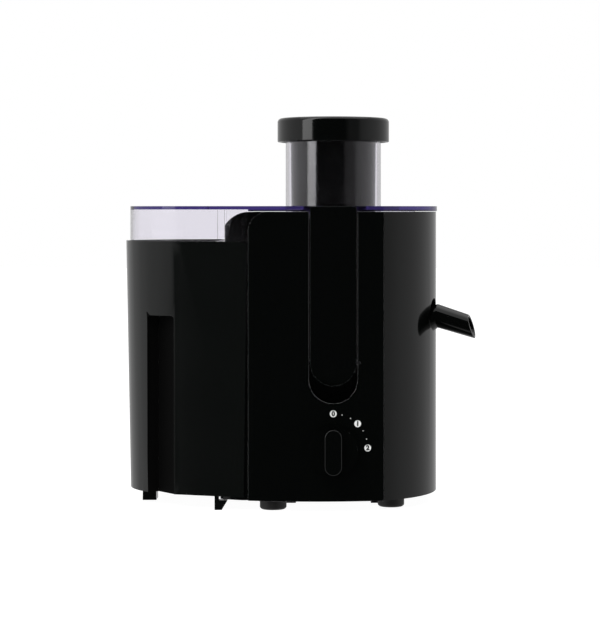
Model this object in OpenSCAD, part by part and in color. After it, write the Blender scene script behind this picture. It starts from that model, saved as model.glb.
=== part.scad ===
// Centrifugal juicer: a motor base with a strainer basket, a clear lid with a feed chute,
// two latch arms, a pulp bin beside the base and a juice spout on the other side.
// All parts are drawn with the motor axis at x = y = 0 and the worktop at z = 0. The knob
// faces -Y, the bin stands at -X and the spout leaves near +X. place() then moves every part
// alike, so that the origin lies on the worktop under the middle of the whole machine.

/* [Body] */
// Radius of the round right-hand end, about the motor axis
body_r = 75.5; // [72:0.5:95]
// Distance from the motor axis to the edges of the flat front and rear
body_half_d = 66.5; // [64:0.5:69]
// Height of the body's top edge above the worktop
body_h = 211; // [205:1:260]
// Distance from the motor axis to the left end of the body
body_left = 80; // [78:1:100]
// Wall thickness of the plastic mouldings
shell = 2.5; // [2:0.1:3]
// Height of the body's lower edge above the worktop
foot_h = 7.6; // [6:0.1:12]
// Height of the underside of the deck that carries the motor
deck_z = 121; // [119:1:128]
// Thickness of the motor deck
deck_t = 3; // [2:0.5:4]

/* [Front and rear panels] */
// Distance from the motor axis to the panels' left edge
panel_left = 60; // [56:1:64]
// How far the middle of a panel bows out
panel_bow = 5; // [4.6:0.1:8]
// Depth of a panel at its side edges
panel_edge = 2.5; // [2.5:0.1:4]
// Radius of a panel's upper left corner
panel_corner_r = 14; // [8:1:18]
// Seam between neighbouring mouldings
seam = 0.3; // [0.2:0.05:0.6]

/* [Latch arms] */
// Width of a latch arm
arm_w = 32.5; // [24:0.5:42]
// Thickness of a latch arm
arm_t = 6.4; // [6:0.1:7]
// Gap between a latch arm and the sides of its slot
arm_gap = 1; // [0.6:0.1:1.5]
// Height of the latch pins
pivot_z = 105; // [100:1:108]
// Length of the press gap under a latch arm
press_gap = 12.5; // [8:0.5:16]
// Radius of a latch pin
pin_r = 1.5; // [1.2:0.1:1.8]
// Reach of the hook over the lid's ledge
hook_reach = 3.2; // [2.5:0.1:3.4]
// Slope of the hook's underside, down and outwards
hook_slope = 19; // [18:1:24]

/* [Lid and feed chute] */
// Bore of the feed chute
chute_bore = 65; // [54:0.5:68]
// Wall of the feed chute
chute_wall = 2.5; // [2:0.1:3]
// Height of the chute's rim above the lid
chute_h = 51; // [40:1:70]
// Thickness of the lid's plate
lid_t = 2.6; // [2:0.1:3]
// Depth of the lip under the plate's edge
lid_lip = 1; // [0.6:0.1:2]
// Thickness of the lid's skirt over the bin
skirt_t = 1.8; // [1.4:0.1:2.2]

/* [Pusher] */
// Clearance between the pusher and the feed chute, on the radius
pusher_gap = 1.2; // [0.8:0.1:2]
// Radius of the pusher's cap
cap_r = 41; // [39.5:0.5:48]
// Height of the pusher's cap
cap_h = 17.5; // [14:0.5:24]

/* [Strainer basket and bowl] */
// Gap between the bowl and the body's flat walls
bowl_gap = 1; // [0.8:0.1:2]
// Wall thickness of the bowl
bowl_wall = 2; // [1.6:0.1:2.4]
// Height of the bowl's floor above the deck
bowl_lift = 7; // [6:0.5:8]
// Gap between the basket's rim and the bowl's wall
basket_gap = 2.5; // [2:0.1:4]
// Radius of the grater disc
grater_r = 38; // [36.5:0.5:40]
// Thickness of the strainer's perforated sheet
sheet_t = 0.8; // [0.5:0.1:1.2]

/* [Pulp bin] */
// Distance from the motor axis to the bin's left end, at its rim
bin_end = 152; // [148:1:175]
// Half of the bin's width
bin_half_w = 67; // [67:0.5:71]
// Radius of the bin's round end, at its rim
bin_r = 58; // [54:0.5:62]
// Height of the bin's rim
bin_h = 190; // [180:1:196]
// Height of the bin's underside
bin_floor_z = 10; // [9:0.5:14]
// How much narrower the bin's round end is at its foot, on the radius
bin_draft = 3.4; // [0:0.1:5]
// Wall thickness of the bin
bin_wall = 2.2; // [1.8:0.1:2.6]
// Height of the finger grips' top
grip_top = 137; // [100:1:160]

/* [Spout] */
// Outer radius of the spout
spout_r = 8.25; // [7:0.25:9]
// Wall thickness of the spout
spout_wall = 2; // [1.5:0.1:2.4]
// Distance from the motor axis to the spout's tip
spout_reach = 103.6; // [98:0.2:130]
// Slope of the spout below the horizontal
spout_fall = 16.5; // [12:0.5:20]
// Turn of the spout from +X towards the front
spout_yaw = 14; // [0:1:20]
// Height of the spout's axis where it passes through the body's wall
spout_z = 136.2; // [134:0.1:137]

/* [Knob and switch] */
// Radius of the speed knob
knob_r = 18.3; // [14:0.1:22]
// Height of the knob's axis
knob_z = 43.5; // [38:0.5:50]
// Depth of the knob's round base
knob_base_t = 4.5; // [3:0.5:8]
// Depth of the knob's grip bar
knob_grip_t = 10; // [6:0.5:14]

/* [Motor] */
// Radius of the motor shaft
shaft_r = 4; // [3:0.25:5]
// Half of the width of the laminated stator
stator_half = 31; // [29:0.5:32]
// Height of the laminated stack
stack_h = 32; // [24:1:34]
// Air gap between armature and stator, on the radius
air_gap = 0.6; // [0.4:0.1:1]
// Radius of the armature
armature_r = 17.5; // [15:0.5:18]

/* [Hidden] */

$fn = 96;
eps = 0.01;       // overlap that makes two drawn shapes one solid
fit = 0.05;       // radial clearance of pins, shafts and screws in their holes
rest = 0.2;       // gap between parts that rest beside each other
big = 400;        // larger than the machine, for cutting away a whole side

black = "#101110";
satin = "#191b1a";
clear = [0.72, 0.7, 0.9, 0.4];
white = "#e6e6e2";
steel = "#b9bcc0";
dark_steel = "#6d7075";
copper = "#b4642f";
rubber = "#202020";

function sq(v) = v * v;

// Body
crease_x = sqrt(sq(body_r) - sq(body_half_d));  // where the flat front meets the round end
wall_y = body_half_d - panel_edge;              // outer face of the flat walls, under the panels
deck_top = deck_z + deck_t;
corner_r = body_h - bin_h;                      // upper left corners, down to the bin's rim
base_top = foot_h + shell;

// Bin
bin_x = bin_r - bin_end;                        // centre of the round end
facet_turn = 14;                                // angle of the flat facets to the front
facet_x = bin_x - bin_r * sin(facet_turn);      // where the facets leave the round end
corner_x = facet_x + (bin_half_w - bin_r * cos(facet_turn)) / tan(facet_turn);
function facet_y(r) = sqrt(sq(r) - sq(facet_x - bin_x));
// The body's left end tapers to fit between the bin's cheeks, which are closest at their foot
foot_slope = (bin_half_w - facet_y(bin_r - bin_draft)) / (corner_x - facet_x);
function taper_y(x) = bin_half_w - (corner_x - x) * foot_slope - (bin_wall + 0.8) * sqrt(1 + sq(foot_slope));
taper_x = corner_x - (bin_half_w - (bin_wall + 0.8) * sqrt(1 + sq(foot_slope)) - wall_y) / foot_slope;
lid_inset = 3;                                  // the skirt stands in from the bin's rim
jog_x = -body_left - 1.6;                       // where the skirt steps out beside the body
bin_back = -body_left - 1;                      // outer face of the wall beside the body
bin_right = -panel_left - 0.6;
bin_right_draft = 2.6;
grip_left = 133.3;
grip_right = 113.3;
grip_ridge = 123.5;                             // edge inside the grip, 2 mm wide
grip_deep_y = 34.5;                             // the grip's deepest line, from the middle

// Panels: the bow is an arc through both side edges
bow_half = (crease_x + panel_left) / 2;
bow_r = (sq(bow_half) + sq(panel_bow)) / (2 * panel_bow);
bow_x = (crease_x - panel_left) / 2;
bow_y = bow_r - panel_bow - body_half_d;
function bow_at(x) = bow_y - sqrt(sq(bow_r) - sq(x - bow_x));

// Latch
slot_w = arm_w + 2 * arm_gap;
slot_rim = 2.2;                                 // wall around the slot, behind the panel's skin
arm_back = wall_y + 0.9;                        // inner face of an arm, from the motor axis
arm_front = arm_back + arm_t;
pin_y = arm_back + arm_t / 2;
arm_low = pivot_z - arm_w / 2;
slot_low = arm_low - press_gap;
heel_sweep = sqrt(sq(arm_w / 2) + sq(arm_t / 2)) + 0.8;
pocket_top = max(pivot_z + arm_t / 2 + 1.3, slot_low + slot_w);
pocket_back = pin_y - heel_sweep;
pocket_t = 2;

// Lid
lid_top = body_h + 0.4 + lid_lip + lid_t;
plate_z = lid_top - lid_t;
lip_z = plate_z - lid_lip;
lid_over = 0.7;                                 // how far the lid's edge stands past the body
skirt_z = bin_h + 0.5;
arm_top = lid_top - rest;
hook_gap = 0.35;
ledge_in = wall_y - 3.5;                        // inner end of the hook's notch in the plate
ledge_out = ledge_in + hook_reach;
ledge_z = body_h + 1.6;                         // top of the ledge at its inner end
ledge_low = body_h - 5;
chute_r = chute_bore / 2 + chute_wall;
chute_top = lid_top + chute_h;

// Bowl and basket
bowl_r = wall_y - shell - bowl_gap;
bowl_in = bowl_r - bowl_wall;
bowl_z = deck_top + bowl_lift;
bowl_floor_t = 2.5;
bowl_top = bin_h;
bowl_flange_t = 2.5;
rim_r = bowl_in - basket_gap;
rim_top = bin_h + 5.5;
rim_h = 5;
baffle_z = rim_top + 7;
hub_z = bowl_z + 12.6;
hub_t = 5.6;
hub_top = hub_z + hub_t;
hub_r = grater_r + 3;
grater_t = 1.2;
grater_top = hub_top + grater_t;
chute_low = grater_top + 5.6;
sheet_low_r = grater_r + 1.2;
sheet_top_r = rim_r - 3;
collar_r = 16;                                  // bowl's upstand around the coupler
collar_wall = 2;
collar_top = bowl_z + 9;
deck_collar_r = 9;
deck_collar_top = deck_top + 5;

// Pusher
pusher_r = chute_bore / 2 - pusher_gap;
pusher_low = chute_low + 4;
pusher_taper = 0.9;
pusher_wall = 2.2;
flange_z = chute_top + rest;
flange_t = 2.2;
cap_top = chute_top - 4 + cap_h;
cap_wall = 2.4;
cap_round = 3;

// Coupler
coupler_r = 12;
coupler_z = deck_collar_top + 1.2;
dog_z = hub_z - 2.1;
dog_r = 8;
dog_fit = 0.25;
dog_top = hub_top - 1.2;

// Spout: its axis passes through the body's wall at wall_point
spout_turn = [0, 90 + spout_fall, -spout_yaw];
wall_point = [body_r * cos(spout_yaw), -body_r * sin(spout_yaw), spout_z];
function along(radius) = (radius - body_r) / cos(spout_fall);
stub_bore = spout_r + 1;
stub_r = stub_bore + 1.6;
stub_from = bowl_in - 1;
stub_to = bowl_r + 5;
spout_from = bowl_r + 0.5;
seal_from = bowl_r + 0.8;
guard_t = 3;                                    // thickness of the drip guard on the wall
guard_r = spout_r + 2.8;
guard_drop = 4;                                 // how far the guard hangs below the spout's axis

// Motor, from the worktop up
stack_z = 54;
stack_top = stack_z + stack_h;
coil_over = 9;                                  // end turns above and below the stack
bore_r = armature_r + air_gap;
lower_bearing_z = 27;
bearing_r = 9;
bearing_h = 6;
commutator_z = 35;
commutator_r = 10.5;
commutator_h = 9.5;
fan_z = 13;
fan_h = 10;
fan_r = 29;
upper_plate_z = stack_top + coil_over + 9;
upper_bearing_z = upper_plate_z - bearing_h;
shaft_low = fan_z - 0.5;
shaft_top = dog_top - 3;
bracket_w = 22;
bracket_t = 2.5;
mount_reach = 38;                               // motor mounts, left and right of the shaft
mount_spread = 16;
mount_r = 5;
screw_r = 1.6;
bolt_r = 1.6;
bolt_at = stator_half - 5;
brush_w = 6;
brush_h = 6.5;
brush_out = 22;
holder_out = 30;
holder_wall = 1.5;

// Feet, posts and screws, given for the front half and mirrored to the rear
foot_spots = [[-42.7, -51.8], [crease_x + 5.6, -38.2]];
foot_r = 9.5;
foot_stem_r = 3;
post_spots = [[10 - body_left, 10 - wall_y], [body_r - 17, -24]];
post_r = 4.4;
post_top = 40;
base_screw_r = 1.5;
base_screw_l = 16;

// Switch
bushing_r = 4.5;
switch_half = 15;
switch_depth = 20;
switch_shaft_r = 3;
knob_back = -(body_half_d + panel_bow + 0.4);
inlet = [-40, 24];                              // x and z of the cord inlet
inlet_r = 3.4;
inlet_hole_r = 6;

// Whole machine, for the origin
tip_r = spout_r * sqrt(1 - sq(cos(spout_fall) * cos(spout_yaw)));
reach_right = spout_reach * cos(spout_yaw) + tip_r;
reach_left = -bin_end;
reach_front = knob_back - knob_base_t - knob_grip_t;
reach_rear = -bow_at(bow_x);
module place() {
  translate([-(reach_left + reach_right) / 2, -(reach_front + reach_rear) / 2, 0]) children();
}

// Helpers -----------------------------------------------------------------------------

// A box from its lowest to its highest corner
module block(low, high) {
  translate(low) cube(high - low);
}

// Keeps the front as drawn and adds its mirror image at the rear
module front_and_rear() {
  children();
  mirror([0, 1, 0]) children();
}

// Turns a drawing in x and z into a slab from y = from to y = to
module slab(from, to) {
  translate([0, to, 0]) rotate([90, 0, 0]) linear_extrude(to - from) children();
}

// Turns a drawing in radius and height round the motor axis
module turned() {
  rotate_extrude() children();
}

module ring(inner, outer, z0, z1) {
  translate([0, 0, z0]) difference() {
    cylinder(r = outer, h = z1 - z0);
    translate([0, 0, -1]) cylinder(r = inner, h = z1 - z0 + 2);
  }
}

// A rod along x, y or the spout
module rod_x(r, x0, x1) {
  translate([x0, 0, 0]) rotate([0, 90, 0]) cylinder(r = r, h = x1 - x0);
}

module rod_y(r, y0, y1) {
  translate([0, y0, 0]) rotate([-90, 0, 0]) cylinder(r = r, h = y1 - y0);
}

module spout_rod(r, from, to) {
  translate(wall_point) rotate(spout_turn)
    translate([0, 0, along(from)]) cylinder(r = r, h = along(to) - along(from));
}

// Plan of the body's shell, drawn in by inset
module shell_plan(inset = 0) {
  left = -body_left + inset;
  half = wall_y - inset;
  end = taper_y(-body_left) - inset;
  right = crease_x + shell + inset;
  intersection() {
    circle(body_r - inset);
    translate([crease_x + seam / 2 + inset, -big / 2]) square([big, big]);
  }
  polygon([[left, 3 - end], [left + 3, -end], [taper_x, -half], [right, -half],
           [right, half], [taper_x, half], [left + 3, end], [left, end - 3]]);
}

// Front half of the plan that the panels bow out to
module bow_plan(inset, from_y, x0 = -panel_left, x1 = crease_x - seam / 2) {
  intersection() {
    translate([bow_x, bow_y]) circle(bow_r - inset, $fn = 360);
    translate([x0, -big / 2]) square([x1 - x0, big / 2 - from_y]);
  }
}

// Front view of a latch slot or arm, from its round lower end up to top
module arm_view(w, low, top) {
  translate([0, low + w / 2]) circle(w / 2);
  translate([-w / 2, low + w / 2]) square([w, top - low - w / 2]);
}

// Front view of a panel, drawn in by inset
module panel_view(inset = 0) {
  x0 = inset - panel_left;
  x1 = crease_x - seam / 2 - inset;
  z0 = foot_h + inset;
  z1 = body_h - inset;
  r = panel_corner_r - inset;
  translate([x0, z0]) square([x1 - x0, z1 - r - z0]);
  translate([x0 + r, z0]) square([x1 - x0 - r, z1 - z0]);
  translate([x0 + r, z1 - r]) circle(r);
}

// Plan of the bin's rim, drawn in by inset: a round end, two flat facets, a straight right side
module bin_plan(inset, right) {
  r = bin_r - inset;
  x0 = bin_x - r * sin(facet_turn);
  half = bin_half_w - inset;
  x1 = x0 + (half - r * cos(facet_turn)) / tan(facet_turn);
  x2 = min(right, x1);
  y0 = r * cos(facet_turn);
  y2 = y0 + (x2 - x0) * tan(facet_turn);
  intersection() {
    translate([bin_x, 0]) circle(r);
    translate([x0 - big, -big / 2]) square([big + eps, big]);
  }
  polygon([[x0, -y0], [x2, -y2], [x2, y2], [x0, y0]]);
  if (right > x1) translate([x1 - eps, -half]) square([right - x1 + eps, 2 * half]);
}

// Body of the machine -------------------------------------------------------------------

module motor_housing() {
  color(black) place() difference() {
    union() {
      difference() {
        intersection() {
          translate([0, 0, foot_h]) linear_extrude(body_h - foot_h) shell_plan();
          slab(-big / 2, big / 2) housing_view();
        }
        translate([0, 0, foot_h - 1]) linear_extrude(deck_z - foot_h + 1) shell_plan(shell);
        translate([0, 0, deck_top]) linear_extrude(big) shell_plan(shell);
        // The pulp flies out over the left wall
        block([-body_left - 1, shell - wall_y, bin_h], [shell - body_left + 1, wall_y - shell, big]);
      }
      ring(shaft_r + 2.5, deck_collar_r, deck_z, deck_collar_top);
      front_and_rear() {
        latch_pocket_walls();
        for (spot = post_spots) screw_post(spot);
      }
      for (x = [-mount_reach, mount_reach], y = [-mount_spread, mount_spread])
        translate([x, y, deck_z - 4]) cylinder(r = mount_r, h = 4 + eps);
    }
    translate([0, 0, deck_z - 1]) cylinder(r = shaft_r + 2.5, h = deck_t + 10);
    front_and_rear() {
      slab(-wall_y - 1, -pocket_back) arm_view(slot_w, slot_low, pocket_top);
      // Room for the lid's ledge
      block([-slot_w / 2 - 1, -wall_y - 1, ledge_low - 0.6], [slot_w / 2 + 1, shell - wall_y + 1, big]);
      translate([0, 0, button_z]) rod_y(button_r + 0.25, -wall_y - 1, shell - wall_y + 1);
      for (spot = post_spots) translate([spot.x, spot.y, base_top])
        cylinder(r = base_screw_r + fit, h = base_screw_l);
    }
    for (x = [-mount_reach, mount_reach], y = [-mount_spread, mount_spread])
      translate([x, y, deck_z - 5]) cylinder(r = screw_r + fit, h = 6.5);
    translate([0, 0, knob_z]) rod_y(bushing_r + rest, -wall_y - 1, shell - wall_y + 1);
    translate([inlet.x, 0, inlet.y]) rod_y(inlet_hole_r, wall_y - shell - 1, wall_y + 1);
    spout_rod(stub_r + 0.6, stub_to - 4, body_r + 6);
  }
}

// Front view of the body, with the upper left corner rounded
module housing_view() {
  translate([-body_left - 1, 0]) square([big, body_h - corner_r]);
  translate([corner_r - body_left, 0]) square([big, body_h + 1]);
  translate([corner_r - body_left, body_h - corner_r]) circle(corner_r);
}

// Box around the room that the lower end of a latch arm swings into
module latch_pocket_walls() {
  slab(shell - wall_y - eps, pocket_t - pocket_back)
    arm_view(slot_w + 2 * pocket_t, slot_low - pocket_t, pocket_top + pocket_t);
}

// Post for a base screw, with a rib to the nearest wall
module screw_post(spot) {
  translate([spot.x, spot.y, base_top + 0.1]) cylinder(r = post_r, h = post_top - base_top);
  intersection() {
    union() {
      block([spot.x - 1, -wall_y, base_top + 0.1], [spot.x + 1, spot.y, post_top]);
      if (spot.x < 0)
        block([-body_left, spot.y - 1, base_top + 0.1], [spot.x, spot.y + 1, post_top]);
      else
        block([spot.x, spot.y - 1, base_top + 0.1], [big, spot.y + 1, post_top]);
    }
    translate([0, 0, base_top]) linear_extrude(post_top) shell_plan(shell / 2);
  }
}

// Panel with a hollow back, a slot for the latch arm and holes for the arm's pin
module panel() {
  hollow = panel_edge + panel_bow;
  difference() {
    intersection() {
      translate([0, 0, foot_h]) linear_extrude(body_h - foot_h) bow_plan(0, wall_y);
      slab(-body_half_d - hollow, 0) panel_view();
    }
    slab(-body_half_d - hollow, 0) arm_view(slot_w, slot_low, big);
    intersection() {
      translate([0, 0, 0]) linear_extrude(body_h) bow_plan(shell, wall_y - 1);
      slab(-body_half_d - hollow, 0) difference() {
        panel_view(shell);
        arm_view(slot_w + 2 * slot_rim, slot_low - slot_rim, big);
      }
    }
    translate([0, -pin_y, pivot_z]) rod_x(pin_r + fit, 0.3 - slot_w / 2 - slot_rim,
                                          slot_w / 2 + slot_rim - 0.3);
  }
}

module front_panel() {
  color(black) place() difference() {
    panel();
    translate([0, 0, knob_z]) rod_y(switch_shaft_r + 2, -big / 2, 0);
  }
}

module rear_panel() {
  color(black) place() difference() {
    mirror([0, 1, 0]) panel();
    translate([inlet.x, 0, inlet.y]) rod_y(inlet_hole_r, 0, big / 2);
  }
}

module base_cover() {
  lug = 8;
  color(black) place() difference() {
    union() {
      translate([0, 0, foot_h]) linear_extrude(shell) shell_plan(shell + 0.4);
      // Lugs that the cord is wound around for storage
      for (x = [-lug / 2 - 31, 31 - lug / 2], side = [-1, 1])
        translate([x, side * 29 - 1.5, 1]) cube([lug, 3, foot_h - 1 + eps]);
    }
    front_and_rear() {
      for (spot = foot_spots) translate([spot.x, spot.y, 0])
        cylinder(r = foot_stem_r + fit, h = base_top + 1);
      for (spot = post_spots) translate([spot.x, spot.y, foot_h]) {
        translate([0, 0, -1]) cylinder(r = base_screw_r + fit, h = shell + 2);
        translate([0, 0, -1]) cylinder(r = base_screw_r + 1.6, h = 2);
      }
    }
    for (row = [-4 : 4])
      translate([row * 6 - 1.2, -22, foot_h - 1]) cube([2.4, 44, shell + 2]);
  }
}

module rubber_feet() {
  color(rubber) place() front_and_rear() for (spot = foot_spots) translate([spot.x, spot.y, 0]) {
    cylinder(r1 = foot_r - 1.2, r2 = foot_r, h = 1.2);
    translate([0, 0, 1.2 - eps]) cylinder(r = foot_r, h = foot_h - 1.2 + eps);
    translate([0, 0, foot_h - eps]) cylinder(r = foot_stem_r, h = shell + 1);
    translate([0, 0, base_top + rest]) cylinder(r1 = foot_stem_r + 1, r2 = foot_stem_r - 0.5, h = 2);
  }
}

module base_screws() {
  color(dark_steel) place() front_and_rear() for (spot = post_spots)
    translate([spot.x, spot.y, foot_h + 0.1]) difference() {
      union() {
        cylinder(r = base_screw_r + 1.4, h = 0.9);
        cylinder(r = base_screw_r, h = base_screw_l);
      }
      for (turn = [0, 90]) rotate(turn) translate([-1.5, -0.3, -1]) cube([3, 0.6, 1.5]);
    }
}

module cord_grommet() {
  back = -bow_at(inlet.x);
  color(rubber) place() translate([inlet.x, 0, inlet.y]) difference() {
    union() {
      rod_y(inlet_hole_r - fit, wall_y - shell - 1.5, back + eps);
      rod_y(inlet_hole_r + 1.5, wall_y - shell - 2.5, wall_y - shell - rest);
    }
    rod_y(inlet_r, 0, big / 2);
  }
}

// Latches -------------------------------------------------------------------------------

button_z = pocket_top + pocket_t + 3.3;
button_r = 2;

// Height of the sloping top of the lid's ledge at a distance y before the motor axis
function ledge_at(y) = ledge_z - (y - ledge_in) * tan(hook_slope);

module latch_arm() {
  hook_in = ledge_in + 0.5;
  difference() {
    union() {
      intersection() {
        slab(-arm_front - panel_bow, -arm_back) arm_view(arm_w, arm_low, arm_top);
        linear_extrude(big) bow_plan(rest, arm_back - 1);
      }
      // Hook over the lid's ledge
      translate([-arm_w / 2, 0, 0]) rotate([90, 0, 90]) linear_extrude(arm_w)
        polygon([[-hook_in, arm_top], [-arm_back - 1, arm_top],
                 [-arm_back - 1, ledge_at(arm_back + 1) + hook_gap],
                 [-hook_in, ledge_at(hook_in) + hook_gap]]);
    }
    translate([0, -pin_y, pivot_z]) rod_x(pin_r + fit, -arm_w, arm_w);
  }
}

module latch_pin() {
  translate([0, -pin_y, pivot_z]) rod_x(pin_r, 0.5 - slot_w / 2 - slot_rim,
                                        slot_w / 2 + slot_rim - 0.5);
}

module interlock_button() {
  translate([0, 0, button_z]) {
    rod_y(button_r, 0.15 - arm_back, 2.9 + shell - wall_y);
    rod_y(button_r + 1, 2.1 + shell - wall_y, 2.9 + shell - wall_y);
  }
}

module microswitch() {
  face = shell - wall_y + 3.1;
  difference() {
    block([-10, face, button_z - 3.2], [10, face + 10, button_z + 3.2]);
    for (x = [-5, 5]) translate([x, face + 5, button_z - 4]) cylinder(r = 1.2, h = 8);
  }
  for (x = [-7, 0, 7]) block([x - 1.2, face + 10 - eps, button_z - 0.3],
                             [x + 1.2, face + 14, button_z + 0.3]);
}

module front_latch_arm() { color(black) place() latch_arm(); }
module rear_latch_arm() { color(black) place() mirror([0, 1, 0]) latch_arm(); }
module front_latch_pin() { color(steel) place() latch_pin(); }
module rear_latch_pin() { color(steel) place() mirror([0, 1, 0]) latch_pin(); }
module front_interlock_button() { color(white) place() interlock_button(); }
module rear_interlock_button() { color(white) place() mirror([0, 1, 0]) interlock_button(); }
module front_microswitch() { color(satin) place() microswitch(); }
module rear_microswitch() { color(satin) place() mirror([0, 1, 0]) microswitch(); }

// Speed control ---------------------------------------------------------------------------

module speed_knob() {
  grip_w = 12;
  front = knob_back - knob_base_t;
  color(black) place() translate([0, 0, knob_z]) difference() {
    union() {
      rod_y(knob_r, front + 1, knob_back);
      rod_y(knob_r - 1, front, front + 1 + eps);
      intersection() {
        rod_y(knob_r - 1.8, front - knob_grip_t, front + eps);
        block([-grip_w / 2, front - knob_grip_t, -big / 2], [grip_w / 2, knob_back, big / 2]);
      }
    }
    rod_y(switch_shaft_r + fit, knob_back - 11, knob_back + 1);
  }
}

module switch_shaft() {
  color(dark_steel) place() translate([0, 0, knob_z])
    rod_y(switch_shaft_r, knob_back - 10.5, shell - wall_y + 2);
}

module speed_switch() {
  face = shell - wall_y + rest;
  color(satin) place() translate([0, 0, knob_z]) difference() {
    union() {
      block([-switch_half, face, -switch_half], [switch_half, face + switch_depth, switch_half]);
      rod_y(bushing_r, -wall_y - 3.6, face + eps);
      for (x = [-9, 0, 9]) block([x - 2, face + switch_depth - eps, -0.4],
                                 [x + 2, face + switch_depth + 5, 0.4]);
    }
    rod_y(switch_shaft_r + fit, -big / 2, face + 3);
  }
}

module switch_nut() {
  color(steel) place() translate([0, 0, knob_z]) difference() {
    translate([0, -wall_y - 3, 0]) rotate([-90, 0, 0]) cylinder(r = 7, h = 2.9, $fn = 6);
    rod_y(bushing_r + fit, -big / 2, 0);
  }
}

// Bowl and spout --------------------------------------------------------------------------

module juice_bowl() {
  foot = bowl_in - 12;
  color(black) place() difference() {
    union() {
      turned() {
        translate([collar_r - collar_wall, bowl_z]) square([bowl_r - collar_r + collar_wall, bowl_floor_t]);
        translate([collar_r - collar_wall, bowl_z]) square([collar_wall, collar_top - bowl_z]);
        translate([bowl_in, bowl_z]) square([bowl_wall, bowl_top - bowl_z]);
        translate([foot, deck_top + rest]) square([2, bowl_z - deck_top]);
      }
      translate([0, 0, bowl_top - bowl_flange_t]) linear_extrude(bowl_flange_t)
        shell_plan(shell + 0.5);
      difference() {
        spout_rod(stub_r, stub_from, stub_to);
        cylinder(r = bowl_in + eps, h = big);
      }
    }
    translate([0, 0, bowl_z + bowl_floor_t]) difference() {
      cylinder(r = bowl_in, h = big);
      cylinder(r = collar_r, h = big);
    }
    translate([0, 0, collar_top]) cylinder(r = collar_r + 1, h = big);
    translate([0, 0, 0]) cylinder(r = collar_r - collar_wall, h = big);
    spout_rod(stub_bore, seal_from - 0.4, body_r);
    spout_rod(spout_r - spout_wall, bowl_in - 6, body_r);
  }
}

module juice_spout() {
  color(black) place() difference() {
    union() {
      spout_rod(spout_r, spout_from, spout_reach);
      // Drip guard that hugs the round wall
      intersection() {
        ring(body_r + rest, body_r + guard_t, spout_z - 2 * guard_r, spout_z + 2 * guard_r);
        translate([0, 0, -guard_drop]) spout_rod(guard_r, body_r - 12, body_r + 12);
      }
    }
    spout_rod(spout_r - spout_wall, spout_from - 5, spout_reach + 5);
  }
}

module spout_seal() {
  color(rubber) place() difference() {
    spout_rod(stub_bore - fit, seal_from, stub_to);
    spout_rod(spout_r + fit, seal_from - 1, stub_to + 1);
  }
}

// Strainer basket ---------------------------------------------------------------------------

module basket_hub() {
  skirt_r = collar_r + 1.5;
  color(white) place() difference() {
    union() {
      ring(eps, hub_r, hub_z, hub_top);
      ring(skirt_r, skirt_r + 2, bowl_z + 5, hub_z + eps);
      translate([0, 0, dog_z + 0.3]) cylinder(r = coupler_r, h = hub_z - dog_z);
    }
    translate([0, 0, dog_z]) cylinder(r = dog_r + dog_fit, h = dog_top + 0.3 - dog_z, $fn = 6);
    translate([0, 0, dog_z]) cylinder(r = 1, h = dog_top + 0.3 - dog_z);
  }
}

module basket_sheet() {
  color(steel) place() turned() polygon([
    [sheet_low_r, hub_top], [sheet_low_r + sheet_t, hub_top],
    [sheet_top_r + sheet_t, rim_top - rim_h], [sheet_top_r, rim_top - rim_h]]);
}

module basket_rim() {
  color(white) place() turned() {
    translate([sheet_top_r - 0.6, rim_top - rim_h]) square([rim_r - sheet_top_r + 0.6, 1.6]);
    translate([rim_r - 1.8, rim_top - rim_h]) square([1.8, rim_h]);
  }
}

// Stainless disc with rings of cutting teeth
module grater_disc() {
  color(steel) place() {
    translate([0, 0, hub_top]) cylinder(r = grater_r, h = grater_t);
    for (row = [1 : 3], tooth = [1 : 6 * row]) rotate(60 * tooth / row + 13 * row)
      translate([row * 10, 0, grater_top - eps]) linear_extrude(1.4)
        polygon([[-1.4, -0.5], [1.4, -0.5], [0, 1.5]]);
  }
}

// Drive -----------------------------------------------------------------------------------

module drive_coupler() {
  color(satin) place() difference() {
    union() {
      translate([0, 0, coupler_z]) cylinder(r = coupler_r, h = dog_z - coupler_z);
      translate([0, 0, dog_z - eps]) cylinder(r = dog_r, h = dog_top - dog_z, $fn = 6);
    }
    translate([0, 0, coupler_z - 1]) cylinder(r = shaft_r + fit, h = shaft_top + 0.5 - coupler_z + 1);
  }
}

module shaft_seal() {
  color(rubber) place() ring(shaft_r + fit, shaft_r + 2.4, deck_z + 1, deck_collar_top - 0.5);
}

module motor_shaft() {
  color(steel) place() translate([0, 0, shaft_low]) cylinder(r = shaft_r, h = shaft_top - shaft_low);
}

// Slotted stack of laminations on the shaft
module armature_core() {
  color(dark_steel) place() difference() {
    ring(shaft_r + fit, armature_r, stack_z, stack_top);
    for (slot = [1 : 12]) rotate(30 * slot)
      block([armature_r - 6, -1, stack_z - 1], [armature_r + 1, 1, stack_top + 1]);
  }
}

module armature_winding() {
  color(copper) place() {
    for (z = [stack_z - coil_over + 1.5, stack_top + 0.1])
      ring(shaft_r + 1.5, armature_r - 2.2, z, z + coil_over - 1.6);
    for (slot = [1 : 12]) rotate(30 * slot)
      block([armature_r - 5.8, -0.8, stack_z - 0.5], [armature_r - 2.6, 0.8, stack_top + 0.5]);
  }
}

module commutator() {
  color(copper) place() difference() {
    ring(shaft_r + fit, commutator_r, commutator_z, commutator_z + commutator_h);
    for (bar = [1 : 24]) rotate(15 * bar)
      block([commutator_r - 1.2, -0.2, commutator_z - 1],
            [commutator_r + 1, 0.2, commutator_z + commutator_h - 2]);
  }
}

module cooling_fan() {
  color(satin) place() {
    ring(shaft_r + fit, 9, fan_z, fan_z + fan_h);
    ring(8, fan_r, fan_z + fan_h - 1.5, fan_z + fan_h);
    for (blade = [1 : 11]) rotate(blade * 360 / 11)
      block([8.5, -0.8, fan_z], [fan_r - 1, 0.8, fan_z + fan_h - 1]);
  }
}

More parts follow.
